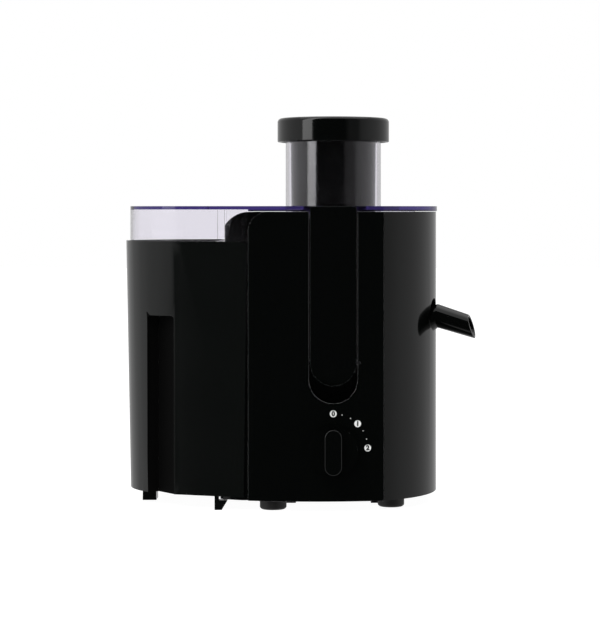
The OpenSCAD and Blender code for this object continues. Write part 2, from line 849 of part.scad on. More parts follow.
module bearing(z) {
  ring(shaft_r + fit, bearing_r, z, z + bearing_h);
}

module upper_bearing() { color(steel) place() bearing(upper_bearing_z); }
module lower_bearing() { color(steel) place() bearing(lower_bearing_z); }

// Square stack with two poles around the armature and a window for each coil
module stator_core() {
  color(dark_steel) place() difference() {
    translate([-stator_half, -stator_half, stack_z]) cube([2 * stator_half, 2 * stator_half, stack_h]);
    translate([0, 0, stack_z - 1]) cylinder(r = bore_r, h = stack_h + 2);
    for (side = [-1, 1]) translate([0, side * (bore_r + 2.5), stack_z + stack_h / 2])
      cube([2 * stator_half - 18, 11, stack_h + 2], center = true);
    bolt_holes();
  }
}

module bolt_holes() {
  for (x = [-bolt_at, bolt_at], y = [-bolt_at, bolt_at])
    translate([x, y, stack_z - 40]) cylinder(r = bolt_r + fit, h = stack_h + 80);
}

module field_coils() {
  color(copper) place() for (side = [-1, 1]) mirror([0, side < 0 ? 1 : 0, 0]) difference() {
    block([-20, bore_r - 1.5, stack_z - coil_over + 2], [20, bore_r + 7, stack_top + coil_over - 2]);
    translate([0, 0, stack_z - big / 2]) cylinder(r = bore_r + 1, h = big);
  }
}

// Motor brackets: a plate with a bearing seat and two legs to the stator
module bracket(plate_z, leg_from, leg_to, seat_z) {
  difference() {
    union() {
      block([-stator_half, -bracket_w / 2, plate_z], [stator_half, bracket_w / 2, plate_z + bracket_t]);
      for (side = [-1, 1]) translate([side * (stator_half - bracket_t / 2), 0, 0])
        block([-bracket_t / 2, -bracket_w / 2, leg_from], [bracket_t / 2, bracket_w / 2, leg_to]);
      for (side = [-1, 1]) translate([side * (stator_half - 5), 0, 0])
        block([-5, -stator_half, leg_from == plate_z ? leg_to - bracket_t : leg_from],
              [5, stator_half, leg_from == plate_z ? leg_to : leg_from + bracket_t]);
      translate([0, 0, seat_z]) cylinder(r = bearing_r + 2, h = bearing_h);
    }
    translate([0, 0, seat_z - 1]) cylinder(r = bearing_r + fit, h = bearing_h + 2);
    translate([0, 0, plate_z - 1]) cylinder(r = bearing_r + fit, h = bracket_t + 2);
    bolt_holes();
  }
}

module upper_bracket() {
  color(steel) place() {
    bracket(upper_plate_z - bracket_t - rest, stack_top + 0.05, upper_plate_z - rest, upper_bearing_z - 1);
    difference() {
      for (side = [-1, 1]) translate([side * (mount_reach + stator_half) / 2, 0, 0])
        block([-(mount_reach - stator_half) / 2 - 6, -mount_spread - 5, upper_plate_z - bracket_t - rest],
              [(mount_reach - stator_half) / 2 + 6, mount_spread + 5, upper_plate_z - rest]);
      mount_holes(screw_r + rest, upper_plate_z - 5, upper_plate_z + 1);
    }
  }
}

module mount_holes(r, z0, z1) {
  for (x = [-mount_reach, mount_reach], y = [-mount_spread, mount_spread])
    translate([x, y, z0]) cylinder(r = r, h = z1 - z0);
}

module lower_bracket() {
  color(steel) place() bracket(lower_bearing_z + 1, lower_bearing_z + 1, stack_z - 0.05, lower_bearing_z);
}

module brush_holders() {
  z = commutator_z + commutator_h / 2;
  color(satin) place() for (side = [0, 180]) rotate(side) difference() {
    block([commutator_r + 1.5, -brush_w / 2 - holder_wall, z - brush_h / 2 - holder_wall],
          [holder_out - 2, brush_w / 2 + holder_wall, z + brush_h / 2 + holder_wall]);
    block([0, -brush_w / 2 - fit, z - brush_h / 2 - fit],
          [holder_out - 3.5, brush_w / 2 + fit, z + brush_h / 2 + fit]);
  }
}

module carbon_brushes() {
  z = commutator_z + commutator_h / 2;
  color("#2b2b2d") place() for (side = [0, 180]) rotate(side) difference() {
    block([commutator_r - 1, -brush_w / 2, z - brush_h / 2], [brush_out, brush_w / 2, z + brush_h / 2]);
    translate([0, 0, z - brush_h]) cylinder(r = commutator_r + 0.08, h = 2 * brush_h);
  }
}

// Brush springs, drawn as their outer form
module brush_springs() {
  z = commutator_z + commutator_h / 2;
  color(steel) place() for (side = [0, 180]) rotate(side) translate([0, 0, z]) difference() {
    rod_x(2.4, brush_out + 0.05, holder_out - 3.6);
    rod_x(1.6, brush_out - 1, holder_out);
  }
}

// Rubber bushes between the upper bracket and the deck
module motor_mounts() {
  color(rubber) place() difference() {
    mount_holes(mount_r, upper_plate_z - rest + 0.05, deck_z - 4.05);
    mount_holes(screw_r + 0.3, upper_plate_z - 5, deck_z + 1);
  }
}

module motor_screws() {
  color(steel) place() {
    mount_holes(screw_r, upper_plate_z - bracket_t - rest - 0.5, deck_z + 1);
    mount_holes(3, upper_plate_z - bracket_t - 2.4 - rest, upper_plate_z - bracket_t - rest - 0.05);
  }
}

module stator_bolts() {
  low = stack_z - bracket_t - 0.05;
  high = stack_top + bracket_t + 0.05;
  color(steel) place() for (x = [-bolt_at, bolt_at], y = [-bolt_at, bolt_at]) translate([x, y, 0]) {
    translate([0, 0, low - 3]) cylinder(r = bolt_r, h = high - low + 5);
    translate([0, 0, low - 2.6]) cylinder(r = 3, h = 2.5);
    translate([0, 0, high + 0.1]) cylinder(r = 3.2, h = 2.4, $fn = 6);
  }
}

// Lid, pusher and bin -----------------------------------------------------------------------

// Plan of the lid: over the body, over the bin, and the stretch between them
module lid_plan(inset = 0) {
  intersection() {
    circle(body_r + lid_over - inset);
    translate([crease_x, -big / 2]) square([big, big]);
  }
  for (side = [0, 1]) mirror([0, side, 0])
    bow_plan(inset - lid_over / 2, 0, inset - panel_left, crease_x + 1);
  bin_plan(lid_inset + inset, jog_x);
  intersection() {
    bin_plan(0.6 + inset, 1 - panel_left);
    translate([jog_x - skirt_t + inset, -big / 2]) square([big, big]);
  }
}

// Ledge that a latch hooks over, hung from the lid's plate
module hook_ledge() {
  w = slot_w + 1;
  translate([-w / 2, 0, 0]) rotate([90, 0, 90]) linear_extrude(w) polygon([
    [3 - ledge_in, ledge_low], [-ledge_out, ledge_low], [-ledge_out, ledge_at(ledge_out)],
    [-ledge_in, ledge_at(ledge_in)], [-ledge_in, plate_z + eps], [3 - ledge_in, plate_z + eps]]);
}

module lid() {
  w = slot_w + 1;
  color(clear) place() difference() {
    union() {
      translate([0, 0, plate_z]) linear_extrude(lid_t) lid_plan();
      // Lip under the plate's edge
      translate([0, 0, lip_z]) linear_extrude(lid_lip + eps) difference() {
        lid_plan();
        lid_plan(skirt_t);
      }
      // Skirt over the bin and beside the body's left end
      translate([0, 0, skirt_z]) linear_extrude(plate_z - skirt_z + eps) difference() {
        lid_plan();
        lid_plan(skirt_t);
        translate([-panel_left - 1, -big / 2]) square([big, big]);
      }
      // Baffle that keeps the pulp in the basket's ring
      translate([0, 0, baffle_z]) linear_extrude(plate_z - baffle_z + eps) difference() {
        circle(bowl_r - 0.3);
        circle(bowl_r - 1.9);
        translate([-big - 30, -big / 2]) square([big, big]);
        for (side = [-1, 1]) translate([-w / 2, side > 0 ? 0 : -big]) square([w, big]);
      }
      ring(chute_bore / 2, chute_r, chute_low, chute_top);
      front_and_rear() hook_ledge();
    }
    translate([0, 0, chute_low - 1]) cylinder(r = chute_bore / 2, h = big);
    // Notches for the latches' hooks
    front_and_rear()
      block([-slot_w / 2, -big / 2, body_h - 1], [slot_w / 2, -ledge_in, big]);
  }
}

module pusher_body() {
  low_r = pusher_r - pusher_taper;
  color(black) place() turned() difference() {
    union() {
      polygon([[0, pusher_low], [low_r, pusher_low], [pusher_r, chute_top - 2],
               [pusher_r, flange_z + eps], [0, flange_z + eps]]);
      translate([0, flange_z]) square([chute_r + 2, flange_t]);
    }
    polygon([[0, pusher_low + pusher_wall], [low_r - pusher_wall, pusher_low + pusher_wall],
             [pusher_r - pusher_wall, flange_z + big], [0, flange_z + big]]);
  }
}

module pusher_cap() {
  cap_low = cap_top - cap_h;
  color(black) place() turned() difference() {
    union() {
      translate([0, cap_low]) square([cap_r, cap_h - cap_round]);
      translate([0, cap_low]) square([cap_r - cap_round, cap_h]);
      translate([cap_r - cap_round, cap_top - cap_round]) intersection() {
        circle(cap_round);
        square([cap_round + 1, cap_round + 1]);
      }
    }
    translate([-1, cap_low - 1]) square([cap_r - cap_wall + 1, flange_z + flange_t + fit - cap_low + 1]);
    translate([-1, cap_low - 1]) square([cap_r - 6 + 1, cap_h - cap_wall + 1]);
  }
}

// Round end of the bin as a solid cone, drawn in by inset
module bin_cone(inset, z0) {
  translate([bin_x, 0, z0]) cylinder(r1 = bin_r - bin_draft - inset, r2 = bin_r - inset,
                                     h = bin_h - bin_floor_z, $fn = 180);
}

// Flat-sided stretch of the bin as a solid, drawn in by inset, from x = left to x = right
module bin_prism(inset, z0, left, right_top, right_low) {
  hull() {
    translate([0, 0, z0 + bin_h - bin_floor_z - eps]) linear_extrude(eps)
      bin_sides(bin_r - inset, bin_half_w - inset, left, right_top);
    translate([0, 0, z0]) linear_extrude(eps)
      bin_sides(bin_r - bin_draft - inset, bin_half_w - inset, left, right_low);
  }
}

module bin_sides(r, half, left, right) {
  slope = (half - facet_y(r)) / (corner_x - facet_x);
  y0 = half - (corner_x - left) * slope;
  x1 = min(right, corner_x);
  y1 = half - (corner_x - x1) * slope;
  polygon([[left, -y0], [x1, -y1], [right, -y1], [right, y1], [x1, y1], [left, y0]]);
}

// Plan of a finger grip, drawn out by grow
module grip_plan(grow) {
  polygon([[-grip_left - grow, -bin_half_w], [-grip_left - grow, grow - grip_deep_y - 4],
           [-grip_ridge - 2 - grow, grow - grip_deep_y],
           [-grip_ridge + grow / 2, grow - grip_deep_y - 2.3],
           [-grip_right + grow, grow - grip_deep_y - 15.5], [-grip_right + grow, -bin_half_w]]);
}

module pulp_bin() {
  room_y = bin_half_w - bin_wall - (corner_x - bin_back) * foot_slope;
  foot_y = 52;
  hook_left = bin_back - 3;
  peg_in = 12.5;                                // from the bin's round end to its peg
  color(satin) place() {
    difference() {
      union() {
        difference() {
          bin_cone(0, bin_floor_z);
          bin_cone(bin_wall, bin_floor_z + bin_wall);
          block([facet_x + eps, -big, 0], [big, big, big]);
        }
        difference() {
          bin_prism(0, bin_floor_z, facet_x, bin_right, bin_right - bin_right_draft);
          bin_prism(bin_wall, bin_floor_z + bin_wall, facet_x - 1, bin_back - bin_wall,
                    bin_back - bin_wall);
          // Room for the body's left end, between the cheeks
          linear_extrude(big) polygon([
            [bin_back, -room_y], [corner_x, bin_wall - bin_half_w], [0, bin_wall - bin_half_w],
            [0, bin_half_w - bin_wall], [corner_x, bin_half_w - bin_wall], [bin_back, room_y]]);
        }
        intersection() {
          bin_cone(0, bin_floor_z);
          front_and_rear() linear_extrude(grip_top + bin_wall) grip_plan(bin_wall);
        }
      }
      front_and_rear() linear_extrude(grip_top) grip_plan(0);
    }
    block([bin_x - bin_r + peg_in, -8, 0], [bin_x - bin_r + peg_in + 10, 8, bin_floor_z + 1]);
    front_and_rear() translate([0, -foot_y, 0]) rotate([90, 0, 0]) linear_extrude(7)
      polygon([[hook_left, 0], [hook_left + 5, 0], [hook_left + 9, 6.6], [hook_left + 9, foot_h - 0.8],
               [bin_back, foot_h - 0.8], [bin_back, bin_floor_z + 1], [hook_left, bin_floor_z + 1]]);
  }
}

motor_housing();
front_panel();
rear_panel();
base_cover();
rubber_feet();
base_screws();
cord_grommet();
front_latch_arm();
rear_latch_arm();
front_latch_pin();
rear_latch_pin();
front_interlock_button();
rear_interlock_button();
front_microswitch();
rear_microswitch();
speed_knob();
switch_shaft();
speed_switch();
switch_nut();
juice_bowl();
juice_spout();
spout_seal();
basket_hub();
basket_sheet();
basket_rim();
grater_disc();
drive_coupler();
shaft_seal();
motor_shaft();
armature_core();
armature_winding();
commutator();
cooling_fan();
upper_bearing();
lower_bearing();
stator_core();
field_coils();
upper_bracket();
lower_bracket();
brush_holders();
carbon_brushes();
brush_springs();
motor_mounts();
motor_screws();
stator_bolts();
lid();
pusher_body();
pusher_cap();
pulp_bin();
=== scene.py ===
"""Looks of a centrifugal juicer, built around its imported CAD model.

Every length is in metres, in the CAD model's frame: +X from the pulp bin to the spout, +Y from
the knob's side to the rear, +Z up from the worktop.
"""

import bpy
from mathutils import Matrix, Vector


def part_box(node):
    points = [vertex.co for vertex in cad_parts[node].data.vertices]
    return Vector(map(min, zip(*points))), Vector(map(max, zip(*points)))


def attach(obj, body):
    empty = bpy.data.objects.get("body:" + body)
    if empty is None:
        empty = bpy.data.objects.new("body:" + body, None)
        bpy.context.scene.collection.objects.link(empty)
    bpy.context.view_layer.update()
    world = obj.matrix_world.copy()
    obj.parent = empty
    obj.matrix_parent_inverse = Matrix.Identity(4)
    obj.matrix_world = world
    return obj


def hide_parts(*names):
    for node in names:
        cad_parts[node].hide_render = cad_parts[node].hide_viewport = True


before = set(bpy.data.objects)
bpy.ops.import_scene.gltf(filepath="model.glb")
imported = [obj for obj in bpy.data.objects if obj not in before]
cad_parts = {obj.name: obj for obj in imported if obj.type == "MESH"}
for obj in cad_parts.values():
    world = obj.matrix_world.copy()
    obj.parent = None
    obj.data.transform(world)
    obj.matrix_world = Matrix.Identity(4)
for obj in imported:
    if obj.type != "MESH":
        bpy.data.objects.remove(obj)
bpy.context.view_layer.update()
SLOTS = {node: thing.data.materials[0].name for node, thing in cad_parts.items()}

import logging
import math
from collections.abc import Callable, Iterable
from dataclasses import dataclass
from enum import Enum

import bmesh
import bpy
from mathutils import Vector

LOG = logging.getLogger("juicer")
MM = 0.001
NEAR = 0.1 * MM
CLOSE_POINTS = 0.08 * MM
Triple = tuple[float, float, float]


# Shader maths ----------------------------------------------------------------------------


class Wire:
    """An output socket that takes part in Python expressions."""

    def __init__(self, shader: "Shader", socket: bpy.types.NodeSocket | None) -> None:
        """Holds a socket and the node tree that it belongs to.

        Args:
            shader: the material or world being built.
            socket: the socket that this wire stands for.
        """
        self.shader = shader
        self.socket = socket

    def maths(self, operation: str, *values: "Wire | float") -> "Wire":
        """Result of one Math node on the given values."""
        return self.shader.node("ShaderNodeMath", {"operation": operation}, dict(enumerate(values)))

    def __add__(self, other: "Wire | float") -> "Wire":
        """Sum with a wire or a number."""
        return self.maths("ADD", self, other)

    __radd__ = __add__

    def __sub__(self, other: "Wire | float") -> "Wire":
        """This wire less a wire or a number."""
        return self.maths("SUBTRACT", self, other)

    def __rsub__(self, other: float) -> "Wire":
        """A number less this wire."""
        return self.maths("SUBTRACT", other, self)

    def __mul__(self, other: "Wire | float") -> "Wire":
        """Product with a wire or a number."""
        return self.maths("MULTIPLY", self, other)

    __rmul__ = __mul__

    def __truediv__(self, other: "Wire | float") -> "Wire":
        """Quotient by a wire or a number."""
        return self.maths("DIVIDE", self, other)

    def __gt__(self, edge: float) -> "Wire":
        """One where this wire is over the edge, and nought elsewhere."""
        return self.maths("GREATER_THAN", self, edge)

    def __lt__(self, edge: float) -> "Wire":
        """One where this wire is under the edge, and nought elsewhere."""
        return self.maths("LESS_THAN", self, edge)

    def fraction(self) -> "Wire":
        """What this wire is over the whole number below it."""
        return self.maths("FRACT", self)

    def size(self) -> "Wire":
        """This wire without its sign."""
        return self.maths("ABSOLUTE", self)

    def largest(self, other: "Wire | float") -> "Wire":
        """The larger of this wire and another."""
        return self.maths("MAXIMUM", self, other)


class Shader:
    """A node tree, built one node at a time."""

    def __init__(self, tree: bpy.types.NodeTree) -> None:
        """Empties a node tree, ready to be built.

        Args:
            tree: the node tree of a material or a world.
        """
        self.tree = tree
        self.tree.nodes.clear()

    def node(self, kind: str, settings: dict[str, object] | None = None,
             inputs: dict[str | int, object] | None = None, output: str | int = 0) -> Wire:
        """Adds a node.

        Args:
            kind: the node's type.
            settings: its own settings, which are set first. Under "stops" are a colour ramp's
                positions and brightnesses.
            inputs: a value or a wire for each socket that is used, by name or number.
            output: the output to hand back.

        Returns:
            The chosen output, or an empty wire from a node with none.
        """
        made = self.tree.nodes.new(kind)
        for key, value in (settings or {}).items():
            if key == "stops":
                self.set_stops(made.color_ramp, value)
            else:
                setattr(made, key, value)
        for key, value in (inputs or {}).items():
            if isinstance(value, Wire):
                self.tree.links.new(value.socket, made.inputs[key])
            else:
                made.inputs[key].default_value = value
        return Wire(self, made.outputs[output] if len(made.outputs) else None)

    @staticmethod
    def set_stops(ramp: bpy.types.ColorRamp, stops: Iterable[tuple[float, float]]) -> None:
        """Gives a ramp grey stops.

        Args:
            ramp: the ramp to fill.
            stops: the position and brightness of each stop, in order.
        """
        rows = list(stops)
        while len(ramp.elements) < len(rows):
            ramp.elements.new(1.0)
        for element, (position, grey) in zip(ramp.elements, rows):
            element.position = position
            element.color = (grey, grey, grey, 1.0)

    def place(self) -> Wire:
        """Object coordinates, which on every piece are the frame's own."""
        return self.node("ShaderNodeTexCoord", output="Object")

    def noise(self, size: float, detail: float, stretch: Triple = (1.0, 1.0, 1.0)) -> Wire:
        """Noise on object coordinates.

        Args:
            size: one blotch's size.
            detail: the number of finer layers.
            stretch: how much longer a blotch is along each axis.

        Returns:
            The noise, from 0 to 1.
        """
        scaled = self.node("ShaderNodeMapping", inputs={
            "Vector": self.place(), "Scale": tuple(1.0 / (size * along) for along in stretch)})
        return self.node("ShaderNodeTexNoise", inputs={"Vector": scaled, "Scale": 1.0, "Detail": detail})

    def bump(self, height: Wire, depth: float) -> Wire:
        """A normal bumped by a height from 0 to 1, where 1 is so deep."""
        return self.node("ShaderNodeBump", inputs={"Height": height, "Strength": 1.0, "Distance": depth})


# Finishes --------------------------------------------------------------------------------


@dataclass(frozen=True)
class Finish:
    """A surface whose colour, gloss and relief change a little from place to place."""

    name: str
    colour: Triple
    roughness: float
    metallic: float = 0.0
    colour_change: float = 0.0
    gloss_change: float = 0.06
    relief: float = 0.0
    relief_size: float = 2 * MM
    relief_stretch: Triple = (1.0, 1.0, 1.0)
    ior: float = 1.5
    transmission: float = 0.0

    def build(self) -> bpy.types.Material:
        """Makes the material.

        Returns:
            The new material.
        """
        material = bpy.data.materials.new(self.name)
        material.use_nodes = True
        material.diffuse_color = (*self.colour, 1.0)
        shader = Shader(material.node_tree)
        surface = shader.node("ShaderNodeBsdfPrincipled", inputs={
            "Base Color": self.tint(shader), "Metallic": self.metallic, "IOR": self.ior,
            "Roughness": self.roughness + shader.noise(45 * MM, 4.0) * self.gloss_change,
            "Transmission Weight": self.transmission, **self.further(shader)})
        shader.node("ShaderNodeOutputMaterial", inputs={"Surface": surface})
        return material

    def tint(self, shader: Shader) -> Wire | tuple[float, ...]:
        """Base colour, a little lighter and darker in soft blotches.

        Args:
            shader: the material being built.

        Returns:
            The colour, or a wire that carries it.
        """
        if not self.colour_change:
            return (*self.colour, 1.0)
        dark, pale = ((*(part * (1 + change) for part in self.colour), 1.0)
                      for change in (-self.colour_change, self.colour_change))
        return shader.node("ShaderNodeMix", {"data_type": "RGBA"},
                           {0: shader.noise(30 * MM, 3.0), 6: dark, 7: pale}, output=2)

    def further(self, shader: Shader) -> dict[str, object]:
        """Sockets beyond the plain ones.

        Args:
            shader: the material being built.

        Returns:
            Each socket's name and its value or wire.
        """
        if not self.relief:
            return {}
        return {"Normal": shader.bump(shader.noise(self.relief_size, 3.0, self.relief_stretch), self.relief)}


@dataclass(frozen=True)
class Perforated(Finish):
    """Sheet metal pierced all over with fine round holes."""

    axis: tuple[float, float] = (0.0, 0.0)
    radius: float = 50 * MM
    pitch: float = 1.3 * MM
    hole: float = 0.8 * MM

    def further(self, shader: Shader) -> dict[str, object]:
        """Holes in rows around the sheet's axis.

        Args:
            shader: the material being built.

        Returns:
            The Alpha socket, which is open in each hole.
        """
        here = shader.node("ShaderNodeSeparateXYZ", inputs={0: shader.place()}, output="X").socket.node
        east, north, height = (Wire(shader, here.outputs[letter]) for letter in "XYZ")
        turn = (north - self.axis[1]).maths("ARCTAN2", north - self.axis[1], east - self.axis[0])
        row = height / self.pitch
        around = turn * (self.radius / self.pitch) + row.maths("FLOOR", row) * 0.5
        across = around.fraction() - 0.5
        along = row.fraction() - 0.5
        return {"Alpha": across * across + along * along > (self.hole / self.pitch / 2) ** 2}


class Finishes(Enum):
    """The finish of each of the record's material slots."""

    black_gloss_plastic = Finish("gloss_black_moulding", (0.0010, 0.0013, 0.0012), 0.06,
                                 relief=0.003 * MM, relief_size=7 * MM)
    black_satin_plastic = Finish("satin_black_moulding", (0.0026, 0.0031, 0.0029), 0.07,
                                 colour_change=0.1, relief=0.004 * MM, relief_size=5 * MM)
    clear_tinted_plastic = Finish("clear_violet_plastic", (0.93, 0.915, 0.96), 0.0, ior=1.49,
                                  gloss_change=0.03, transmission=1.0)
    blackened_steel = Finish("blackened_steel", (0.006, 0.006, 0.007), 0.4, metallic=0.3)
    black_rubber = Finish("moulded_black_rubber", (0.012, 0.012, 0.012), 0.55, colour_change=0.2,
                          relief=0.05 * MM, relief_size=0.7 * MM)
    light_grey_plastic = Finish("light_grey_moulding", (0.62, 0.63, 0.62), 0.28, colour_change=0.03,
                                relief=0.006 * MM, relief_size=1.2 * MM)
    dark_technical_plastic = Finish("glass_filled_dark_plastic", (0.025, 0.026, 0.028), 0.42,
                                    colour_change=0.15, relief=0.03 * MM, relief_size=0.5 * MM)
    white_nylon = Finish("natural_nylon", (0.76, 0.75, 0.70), 0.38, colour_change=0.03,
                         relief=0.02 * MM, relief_size=0.6 * MM)
    stainless_sheet = Finish("brushed_stainless", (0.58, 0.57, 0.55), 0.24, metallic=1.0,
                             relief=0.01 * MM, relief_size=0.5 * MM, relief_stretch=(1, 1, 12))
    zinc_plated_steel = Finish("zinc_plate", (0.55, 0.56, 0.57), 0.34, metallic=1.0,
                               colour_change=0.12, relief=0.02 * MM, relief_size=3 * MM)
    ground_steel = Finish("ground_steel", (0.52, 0.52, 0.52), 0.18, metallic=1.0,
                          relief=0.006 * MM, relief_size=0.3 * MM, relief_stretch=(8, 8, 1))
    lamination_steel = Finish("stacked_laminations", (0.20, 0.20, 0.21), 0.42, metallic=0.9,
                              colour_change=0.15, relief=0.05 * MM, relief_size=0.7 * MM,
                              relief_stretch=(60, 60, 1))
    enamelled_copper = Finish("enamelled_windings", (0.48, 0.17, 0.06), 0.3, metallic=0.7,
                              colour_change=0.2, relief=0.3 * MM, relief_size=0.9 * MM,
                              relief_stretch=(30, 1, 30))
    commutator_copper = Finish("turned_copper", (0.72, 0.36, 0.22), 0.26, metallic=1.0,
                               relief=0.01 * MM, relief_size=0.4 * MM, relief_stretch=(12, 12, 1))
    carbon = Finish("pressed_carbon", (0.03, 0.03, 0.032), 0.6, colour_change=0.25,
                    relief=0.03 * MM, relief_size=0.4 * MM)


class Paint:
    """Materials, each made once."""

    made: dict[Finish, bpy.types.Material] = {}

    @classmethod
    def of(cls, finish: Finish) -> bpy.types.Material:
        """The material of a finish, made at its first use."""
        if finish not in cls.made:
            cls.made[finish] = finish.build()
        return cls.made[finish]

    @classmethod
    def dress(cls, thing: bpy.types.Object, finish: Finish) -> None:
        """Gives an object its main finish.

        Args:
            thing: the object to dress.
            finish: the finish.
        """
        if not thing.material_slots:
            thing.data.materials.append(None)
        thing.material_slots[0].material = cls.of(finish)


# Painted highlight: a pale grey given to rounded edges so they show as bright lines on the black plastic, as
# light catching them would.
PAINTED_HIGHLIGHT_EDGE = Finish("painted_highlight_edge", (0.20, 0.205, 0.205), 0.3)
LIT_EDGE = Finish("lit_edge", (0.40, 0.40, 0.41), 0.3)
# Painted shade: a near-black with almost no reflection, put on the finger grips' walls where shade falls
# inside the recesses.
PAINTED_RECESS_SHADE = Finish("painted_recess_shade", (0.002, 0.002, 0.002), 0.6, ior=1.1)
VIOLET_EDGE = Finish("violet_edge", (0.05, 0.035, 0.17), 0.05, ior=1.49, gloss_change=0.03,
                     transmission=1.0)
DIAL_WHITE = Finish("printed_white", (0.80, 0.81, 0.80), 0.35, colour_change=0.02)
DIAL_DIGIT = Finish("printed_dark", (0.006, 0.006, 0.006), 0.35)


# Modelling -------------------------------------------------------------------------------


class Part(Enum):
    """What an edit-mode selection is made of."""

    EDGES = "EDGE"
    FACES = "FACE"


class Axis(Enum):
    """The direction in which a drum's flat ends look."""

    X = (0.0, math.pi / 2, 0.0)
    Y = (math.pi / 2, 0.0, 0.0)
    Z = (0.0, 0.0, 0.0)


def middle(node: str) -> Vector:
    """The centre of a CAD node's box."""
    low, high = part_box(node)
    return (low + high) / 2


class Piece:
    """One visible piece while it is modelled with Blender's operators."""

    def __init__(self, name: str, thing: bpy.types.Object) -> None:
        """Names an object and holds it.

        Args:
            name: the piece's name.
            thing: the object being modelled.
        """
        self.thing = thing
        thing.name = thing.data.name = name

    @classmethod
    def copy_of(cls, node: str, flat: float = 0.4) -> "Piece":
        """A merged copy of a CAD node, with each flat face in one.

        Args:
            node: the node to copy.
            flat: the angle in degrees under which neighbouring triangles count as one face.

        Returns:
            The new piece.
        """
        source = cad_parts[node]
        thing = bpy.data.objects.new(node + "_shown", source.data.copy())
        bpy.context.scene.collection.objects.link(thing)
        piece = cls(node + "_shown", thing)
        with piece.shaping():
            bpy.ops.mesh.select_all(action="SELECT")
            bpy.ops.mesh.remove_doubles(threshold=0.001 * MM)
            bpy.ops.mesh.dissolve_limited(angle_limit=math.radians(flat))
        return piece

    @classmethod
    def drum(cls, name: str, centre: Iterable[float], radius: float, depth: float,
             axis: Axis = Axis.Z, sides: int = 96) -> "Piece":
        """Starts a round piece.

        Args:
            name: the piece's name.
            centre: its centre.
            radius: its radius.
            depth: its length along its axis.
            axis: the way its ends look.
            sides: the number of sides.

        Returns:
            The new piece.
        """
        bpy.ops.object.select_all(action="DESELECT")
        bpy.ops.mesh.primitive_cylinder_add(vertices=sides, radius=radius, depth=depth,
                                            location=tuple(centre), rotation=axis.value)
        piece = cls(name, bpy.context.object)
        piece.settle()
        return piece

    @classmethod
    def block(cls, name: str, centre: Iterable[float], size: Triple) -> "Piece":
        """Starts a square-cornered piece.

        Args:
            name: the piece's name.
            centre: its centre.
            size: its size along each axis.

        Returns:
            The new piece.
        """
        bpy.ops.object.select_all(action="DESELECT")
        bpy.ops.mesh.primitive_cube_add(size=1.0, location=tuple(centre), scale=size)
        piece = cls(name, bpy.context.object)
        piece.settle()
        return piece

    @classmethod
    def text(cls, name: str, words: str, centre: Iterable[float], size: float, depth: float,
             weight: float) -> "Piece":
        """Starts upright lettering that looks towards -Y.

        Args:
            name: the piece's name.
            words: what it says.
            centre: the lettering's centre.
            size: the font size.
            depth: half its thickness.
            weight: how far each stroke is thickened on both sides.

        Returns:
            The new piece, already a mesh.
        """
        bpy.ops.object.select_all(action="DESELECT")
        bpy.ops.object.text_add(location=tuple(centre), rotation=Axis.Y.value)
        made = bpy.context.object
        made.data.body, made.data.size, made.data.extrude = words, size, depth
        made.data.align_x = made.data.align_y = "CENTER"
        made.data.offset = weight
        bpy.ops.object.convert(target="MESH")
        piece = cls(name, bpy.context.object)
        piece.settle()
        return piece

    def hold(self) -> None:
        """Makes this the only selected object, and the active one."""
        bpy.ops.object.select_all(action="DESELECT")
        self.thing.select_set(True)
        bpy.context.view_layer.objects.active = self.thing

    def settle(self) -> None:
        """Moves the object's place and turn into its mesh."""
        self.hold()
        bpy.ops.object.transform_apply(location=True, rotation=True, scale=True)

    def shaping(self) -> "Shaping":
        """Edit mode, for a with block."""
        return Shaping(self)

    def pick(self, part: Part, test: Callable[[object], bool]) -> int:
        """Selects what passes a test, in edit mode.

        Args:
            part: what to select.
            test: says whether an edge or face is wanted.

        Returns:
            The number selected.
        """
        bpy.ops.mesh.select_mode(type=part.value)
        bpy.ops.mesh.select_all(action="DESELECT")
        mesh = bmesh.from_edit_mesh(self.thing.data)
        wanted = [item for item in getattr(mesh, part.value.lower() + "s") if test(item)]
        for item in wanted:
            item.select_set(True)
        bmesh.update_edit_mesh(self.thing.data)
        return len(wanted)

    def slot_of(self, finish: Finish) -> int:
        """Finds the material slot of a finish, and adds it if need be.

        Args:
            finish: the finish.

        Returns:
            The slot's number.
        """
        material = Paint.of(finish)
        if self.thing.data.materials.find(material.name) < 0:
            self.thing.data.materials.append(material)
        return self.thing.data.materials.find(material.name)

    def paint(self, finish: Finish) -> None:
        """Gives the selected faces a finish of their own, in edit mode."""
        self.thing.active_material_index = self.slot_of(finish)
        bpy.ops.object.material_slot_assign()

    def round_edges(self, width: float, segments: int = 3, sharp: float = 35.0,
                    where: Callable[[Vector], bool] = lambda place: True,
                    edge: Finish | None = None) -> "Piece":
        """Rounds sharp edges.

        Args:
            width: how far the rounding reaches on each side.
            segments: the number of strips in it.
            sharp: the angle in degrees over which an edge is sharp.
            where: says whether an edge with this middle is rounded.
            edge: the finish of the rounding, if it differs from the rest.

        Returns:
            The piece itself.
        """
        def wanted(line: bmesh.types.BMEdge) -> bool:
            """Whether an edge is sharp and in the right place."""
            return (len(line.link_faces) == 2 and line.calc_face_angle(0.0) > math.radians(sharp)
                    and where((line.verts[0].co + line.verts[1].co) / 2))

        with self.shaping():
            if self.pick(Part.EDGES, wanted):
                bpy.ops.mesh.bevel(offset=width, segments=segments, profile=0.5, clamp_overlap=True,
                                   material=self.slot_of(edge) if edge else -1)
        return self

    def join(self, *others: "Piece") -> "Piece":
        """Takes other pieces' meshes into this one."""
        self.hold()
        for other in others:
            other.thing.select_set(True)
        bpy.ops.object.join()
        return self

    def modify(self, kind: str, **settings: object) -> "Piece":
        """Adds a modifier and applies it.

        Args:
            kind: the modifier's type.
            settings: its settings.

        Returns:
            The piece itself.
        """
        self.hold()
        made = self.thing.modifiers.new(kind.lower(), kind)
        for key, value in settings.items():
            setattr(made, key, value)
        bpy.ops.object.modifier_apply(modifier=made.name)
        return self

